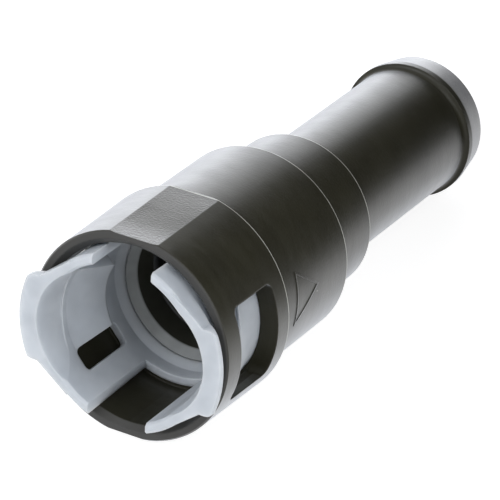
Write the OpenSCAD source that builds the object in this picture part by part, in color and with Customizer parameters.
// Quick hose connector: a moulded nylon socket for a beaded tube, with a barbed stem for a rubber hose.
// The axis lies along X: the mouth opens to -X at x = 0, the hose stem points to +X, and +Z is the upper flat.

/* [Mating tube] */
// Outside diameter of the rigid tube that plugs into the mouth
tube_d = 19.05; // [18:0.05:20]
// Radial clearance round the tube in its guide bores
tube_clear = 0.1; // [0.05:0.01:0.2]
// Radial clearance between the tube and the catches of the retainer
catch_clear = 0.15; // [0.1:0.01:0.3]

/* [Collar] */
// Diameter of the mouth rim
collar_d = 32; // [31:0.1:34]
// Length of the collar, from the rim to its rear shoulder
collar_len = 16.6; // [16:0.1:20]
// Draft angle of the collar, which widens towards the shoulder
collar_draft = 1; // [0:0.1:2]
// Depth of the two flats below the collar's surface
flat_depth = 0.5; // [0.2:0.05:0.8]
// Inside diameter of the room for the retainer
cavity_d = 27.8; // [27.4:0.1:28.4]
// Size of the lead-in bevel inside the rim
rim_bevel = 0.9; // [0.3:0.1:1.2]

/* [Windows] */
// Distance from the rim to the front wall of each window
window_x = 3.6; // [3:0.1:4.2]
// Length of each window along the axis
window_len = 9.8; // [9:0.1:10.2]
// Width of each window round the collar, between its parallel side walls
window_w = 14.6; // [13:0.1:16]
// Corner radius of the windows
window_r = 1; // [0.5:0.1:2]

/* [Seal housing] */
// Outside diameter of the seal housing behind the collar
housing_d = 29.7; // [29.2:0.1:31]
// Length of the seal housing
housing_len = 19.3; // [18.5:0.1:24]
// Outside diameter of the tube pilot behind the seal housing
pilot_d = 24.6; // [24:0.1:26]
// Length of the tube pilot
pilot_len = 11.5; // [8:0.1:16]
// Diameter of the bore that holds the seals
seal_bore_d = 24.4; // [24:0.1:24.8]

/* [Hose stem] */
// Outside diameter of the stem
stem_d = 20.2; // [19.6:0.1:21]
// Length of the stem up to the sharp edge of its bead
stem_len = 33.7; // [25:0.1:45]
// Diameter of the bead that grips the hose
bead_d = 21.9; // [21.4:0.1:23]
// Length of the cylindrical land on the bead
bead_land = 1; // [0.8:0.1:2]
// Length of the tapered nose behind the bead
nose_len = 4.6; // [3:0.1:7]
// Diameter at the tip of the nose
nose_d = 20.3; // [19:0.1:21]
// Diameter of the flow bore
flow_d = 15.4; // [13:0.1:16]

/* [Retainer] */
// Outside diameter of the retainer's sleeve at its base ring
sleeve_d = 26.4; // [26:0.1:26.8]
// Inside diameter of the sleeve, which clears the bead on the tube
sleeve_bore_d = 24; // [23.6:0.1:24.4]
// How far the wings and the finger tabs stand out of the mouth
wing_out = 2.8; // [2:0.1:4]
// Width of the gap between the two wings
wing_gap = 9.6; // [6:0.1:10]
// How far the finger tabs stand out beyond the rim, on the radius
tab_out = 0.6; // [0:0.1:1.5]
// Width of the finger tabs, between their ends
tab_w = 13.4; // [12.6:0.1:14.6]
// Depth of the finger tabs along the axis, where their sloping backs meet the sleeve
tab_t = 3.4; // [2.6:0.1:3.6]
// Length of each side slot, ahead of the base ring
slot_len = 10.4; // [9.4:0.1:11]
// Width of each side slot round the sleeve
slot_w = 3.6; // [2.5:0.1:4.2]
// Corner radius of the side slots
slot_r = 0.8; // [0.2:0.1:1]
// Distance from the rim to the rear face of the catches
catch_x = 9.4; // [9:0.1:10]
// Distance from the rim to the hooked front edge of the latches
latch_x = 6; // [4.2:0.1:6.6]
// How far the hooks stand out beyond the cavity's wall, into the windows
latch_hold = 0.5; // [0.3:0.1:1.5]

/* [Seals] */
// Thickness of the O-rings' cord
seal_t = 3; // [2.8:0.05:3.1]
// Length of the keeper ring in front of the seals
keeper_len = 5.4; // [3.6:0.1:5.8]
// Thickness of the spacer ring between the seals
spacer_t = 4; // [1:0.1:4.2]

/* [Hidden] */

// Running gaps between pieces: along the axis, and on the radius
end_gap = 0.1;
side_gap = 0.1;
// Small bevel on every moulded outer edge
edge = 0.25;
// Smoothness of the turned surfaces, and an overshoot for clean cuts
turn_fn = 96;
over = 1;
// Wall behind the blind ends of the tube socket
end_wall = 2.6;

// Stations along the axis
housing_end = collar_len + housing_len;
pilot_end = housing_end + pilot_len;
bead_x = pilot_end + stem_len;
land_end = bead_x + bead_land;
tip_x = land_end + nose_len;
window_end = window_x + window_len;
cavity_end = window_end - 0.3;
ring_front = window_end - 0.6;
keeper_front = collar_len;
keeper_end = keeper_front + keeper_len;
front_seal_x = keeper_end + end_gap + seal_t / 2;
spacer_front = front_seal_x + seal_t / 2 + end_gap;
rear_seal_x = spacer_front + spacer_t + end_gap + seal_t / 2;
seal_bore_end = rear_seal_x + seal_t / 2 + end_gap;
tube_stop = pilot_end - end_wall;

// Radii
collar_r = collar_d / 2;
shoulder_r = collar_r + collar_len * tan(collar_draft);
guide_r = tube_d / 2 + tube_clear;
catch_r = tube_d / 2 + catch_clear;
cavity_r = cavity_d / 2;
seal_r = seal_bore_d / 2;
sleeve_r = sleeve_d / 2;
sleeve_bore_r = sleeve_bore_d / 2;
seat_r = sleeve_r + side_gap;
// The sleeve widens a little towards the mouth, so that it bears on nothing but its latches
sleeve_front_r = sleeve_r + 0.4;
throat_r = guide_r + 1.2;
latch_r = cavity_r + latch_hold;
tab_r = collar_r + tab_out;

// Retainer stations and angles
slot_x = ring_front - slot_len;
// The latches fill the width of the windows, and start behind their rounded front corners
latch_w = window_w - 4 * side_gap;
latch_front = max(latch_x, window_x + window_r);
// Angle between the middle of a wing and each of its slots
slot_angle = 40.5;
// Scoop inside the tabs: its radius, its tilt to the axis, its reach ahead, and its middle on the front face
scoop_r = 10;
scoop_tilt = 17;
scoop_lead = scoop_r * tan(scoop_tilt) + over;
scoop_y = sleeve_bore_r + 1.65 - scoop_r / cos(scoop_tilt);

// Turns a profile drawn as [radius, station] round the X axis
module turned() {
  rotate([0, 90, 0]) rotate_extrude($fn = turn_fn) children();
}

// A ring of plain rectangular section
module plain_ring(r_in, r_out, x0, x1) {
  turned() translate([r_in, x0]) square([r_out - r_in, x1 - x0]);
}

// An oblong with rounded corners, from x = 0 along X
module round_oblong(len, width, r) {
  translate([0, r - width / 2]) square([len, width - 2 * r]);
  translate([r, -width / 2]) square([len - 2 * r, width]);
  for (x = [r, len - r], y = [r - width / 2, width / 2 - r])
    translate([x, y]) circle(r = r, $fn = 32);
}

// Both windows, cut through the collar along Y
module window_cut() {
  translate([window_x, 0, 0]) rotate([90, 0, 0])
    linear_extrude(height = 2 * (shoulder_r + over), center = true)
      round_oblong(window_len, window_w, window_r);
}

// The two opposite flats follow the draft of the collar
module flat_cuts() {
  for (s = [0, 180])
    rotate([s, 0, 0]) translate([0, 0, collar_r - flat_depth]) rotate([0, -collar_draft, 0])
      translate([-over, -collar_r, 0]) cube([collar_len + 2 * over, collar_d, shoulder_r]);
}

// Outside of the body, from the rim to the tip of the nose
module body_outline() {
  stem_r = stem_d / 2;
  bead_r = bead_d / 2;
  fillet = bead_r - stem_r;
  polygon([
    [0, 0], [collar_r - edge, 0], [collar_r, edge],
    [shoulder_r, collar_len - edge], [shoulder_r - edge, collar_len],
    [housing_d / 2, collar_len], [housing_d / 2, housing_end - edge], [housing_d / 2 - edge, housing_end],
    [pilot_d / 2, housing_end], [pilot_d / 2, pilot_end - edge], [pilot_d / 2 - edge, pilot_end],
    [stem_r, pilot_end], [stem_r, bead_x], [bead_r, bead_x], [bead_r, land_end],
    [nose_d / 2, tip_x - edge], [nose_d / 2 - 2 * edge, tip_x], [0, tip_x]
  ]);
  difference() {
    translate([stem_r - over, bead_x - fillet]) square([fillet + over, fillet]);
    translate([stem_r + fillet, bead_x - fillet]) circle(r = fillet, $fn = 48);
  }
}

// Everything hollow: retainer room, ring seat, seal bore, tube pilot and flow bore
module body_bore() {
  polygon([
    [0, -over], [cavity_r + rim_bevel + over, -over], [cavity_r, rim_bevel],
    [cavity_r, cavity_end], [seat_r, cavity_end], [seat_r, collar_len],
    [seal_r, collar_len], [seal_r, seal_bore_end], [guide_r, seal_bore_end], [guide_r, tube_stop],
    [flow_d / 2, tube_stop], [flow_d / 2, tip_x - edge], [flow_d / 2 + edge, tip_x], [flow_d / 2 + edge, tip_x + over],
    [0, tip_x + over]
  ]);
}

module body() {
  color([0.09, 0.09, 0.08]) difference() {
    turned() body_outline();
    turned() body_bore();
    window_cut();
    flat_cuts();
  }
}

// A prism of two opposite wedges that open to +Y and -Y, for cutting out a share of a ring
module side_wedges(half_angle, x0, x1) {
  reach = collar_d;
  for (s = [0, 180])
    rotate([s, 0, 0]) translate([x0, 0, 0]) rotate([90, 0, 90]) linear_extrude(height = x1 - x0)
      polygon([[0, 0], [reach, -reach * tan(half_angle)], [reach, reach * tan(half_angle)]]);
}

// Section of the sleeve: thin in front, then the base ring with its throat
module sleeve_outline() {
  bevel = 0.4;
  polygon([
    [sleeve_bore_r + bevel, -wing_out], [sleeve_front_r - bevel, -wing_out], [sleeve_front_r, bevel - wing_out],
    [sleeve_r, ring_front], [sleeve_r, collar_len - end_gap], [throat_r, collar_len - end_gap],
    [sleeve_bore_r, collar_len - 1.4], [sleeve_bore_r, bevel - wing_out]
  ]);
}

// Ramp on the inside of each tongue, up to the sharp catch behind the tube's bead
module catch_outline() {
  land = 0.3;
  polygon([
    [sleeve_bore_r, slot_x], [sleeve_bore_r + 0.4, slot_x], [sleeve_bore_r + 0.4, catch_x],
    [catch_r, catch_x], [catch_r, catch_x - land]
  ]);
}

// Ramp on the outside of each tongue, from its blunt front edge down to the ring
module latch_outline() {
  root_r = sleeve_bore_r + 0.4;
  polygon([
    [root_r, latch_front + edge], [latch_r, latch_front + edge], [sleeve_r, ring_front], [root_r, ring_front]
  ]);
}

// What the undercut leaves of the ramps: each front face leans back by 45 degrees and so makes a hook
module latch_sides() {
  reach = latch_r + over;
  for (s = [0, 180])
    rotate([s, 0, 0]) translate([0, 0, -latch_w / 2]) linear_extrude(height = latch_w)
      polygon([[latch_front - over, reach], [ring_front, reach], [ring_front, catch_r],
        [latch_front + latch_r - catch_r, catch_r]]);
}

// Section of a finger tab: a thin lip in front, and a back that slopes down to the sleeve
module tab_outline() {
  bevel = 0.3;
  root_r = sleeve_bore_r + 0.5;
  polygon([
    [root_r, -wing_out], [tab_r - bevel, -wing_out], [tab_r, bevel - wing_out], [tab_r, 2 * bevel - wing_out],
    [sleeve_r, tab_t - wing_out], [root_r, tab_t - wing_out]
  ]);
}

// A finger tab seen along the axis: round corners, and flanks that run down to the sleeve
module tab_shape() {
  corner = 1.6;
  lap = 0.05;
  half = tab_w / 2;
  corner_y = sqrt(pow(tab_r - corner + lap, 2) - pow(half - corner, 2));
  out = (tab_r + over) / (tab_r - corner);
  flank_r = cavity_r + 1;
  flank_y = sqrt(pow(flank_r, 2) - pow(half, 2));
  foot_r = sleeve_front_r - 0.15;
  foot_a = atan2(half, flank_y) + acos(foot_r / flank_r);
  foot = foot_r * [cos(foot_a), sin(foot_a)];
  polygon([
    [0, 0], [foot.x, -foot.y], [flank_y, -half], [corner_y, -half], [corner_y, corner - half],
    out * [corner_y, corner - half], out * [corner_y, half - corner],
    [corner_y, half - corner], [corner_y, half], [flank_y, half], foot
  ]);
  for (z = [corner - half, half - corner])
    translate([corner_y, z]) circle(r = corner, $fn = 32);
}

// The inside of each tab is hollowed by a tilted round scoop that meets the sleeve's bore
module tab_scoops() {
  for (s = [-1, 1])
    translate([-wing_out, s * scoop_y, 0]) rotate([0, 0, -s * scoop_tilt]) rotate([0, 90, 0])
      translate([0, 0, -scoop_lead]) cylinder(r = scoop_r, h = scoop_lead + 1.5 * over, $fn = turn_fn);
}

module retainer() {
  color([0.86, 0.87, 0.9]) difference() {
    union() {
      turned() sleeve_outline();
      intersection() {
        turned() catch_outline();
        side_wedges(slot_angle, 0, ring_front);
      }
      intersection() {
        turned() latch_outline();
        latch_sides();
      }
      intersection() {
        turned() tab_outline();
        for (s = [0, 180])
          rotate([s, 0, 0]) translate([-wing_out - over, 0, 0]) rotate([90, 0, 90])
            linear_extrude(height = tab_t + 2 * over) tab_shape();
      }
    }
    // Gap between the wings, above and below
    translate([-wing_out - over, -wing_gap / 2, -collar_r])
      cube([ring_front + wing_out + over, wing_gap, collar_d]);
    // Four slots that free the tongues along their sides
    for (wing = [90, 270], s = [-1, 1])
      rotate([wing + s * slot_angle, 0, 0]) translate([slot_x, 0, catch_r / 2])
        linear_extrude(height = collar_r) round_oblong(slot_len, slot_w, slot_r);
    tab_scoops();
  }
}

module seal_keeper() {
  color([0.45, 0.46, 0.46]) turned() polygon([
    [throat_r, keeper_front], [seal_r - side_gap, keeper_front], [seal_r - side_gap, keeper_end],
    [guide_r, keeper_end], [guide_r, keeper_front + 1.2]
  ]);
}

module o_ring(x) {
  color([0.12, 0.12, 0.12]) turned() translate([seal_r - side_gap / 2 - seal_t / 2, x]) circle(d = seal_t, $fn = 48);
}

module seal_spacer() {
  color([0.8, 0.8, 0.76]) plain_ring(guide_r + side_gap, seal_r - side_gap, spacer_front, spacer_front + spacer_t);
}

body();
retainer();
seal_keeper();
o_ring(front_seal_x);  // front_o_ring
seal_spacer();
o_ring(rear_seal_x);  // rear_o_ring
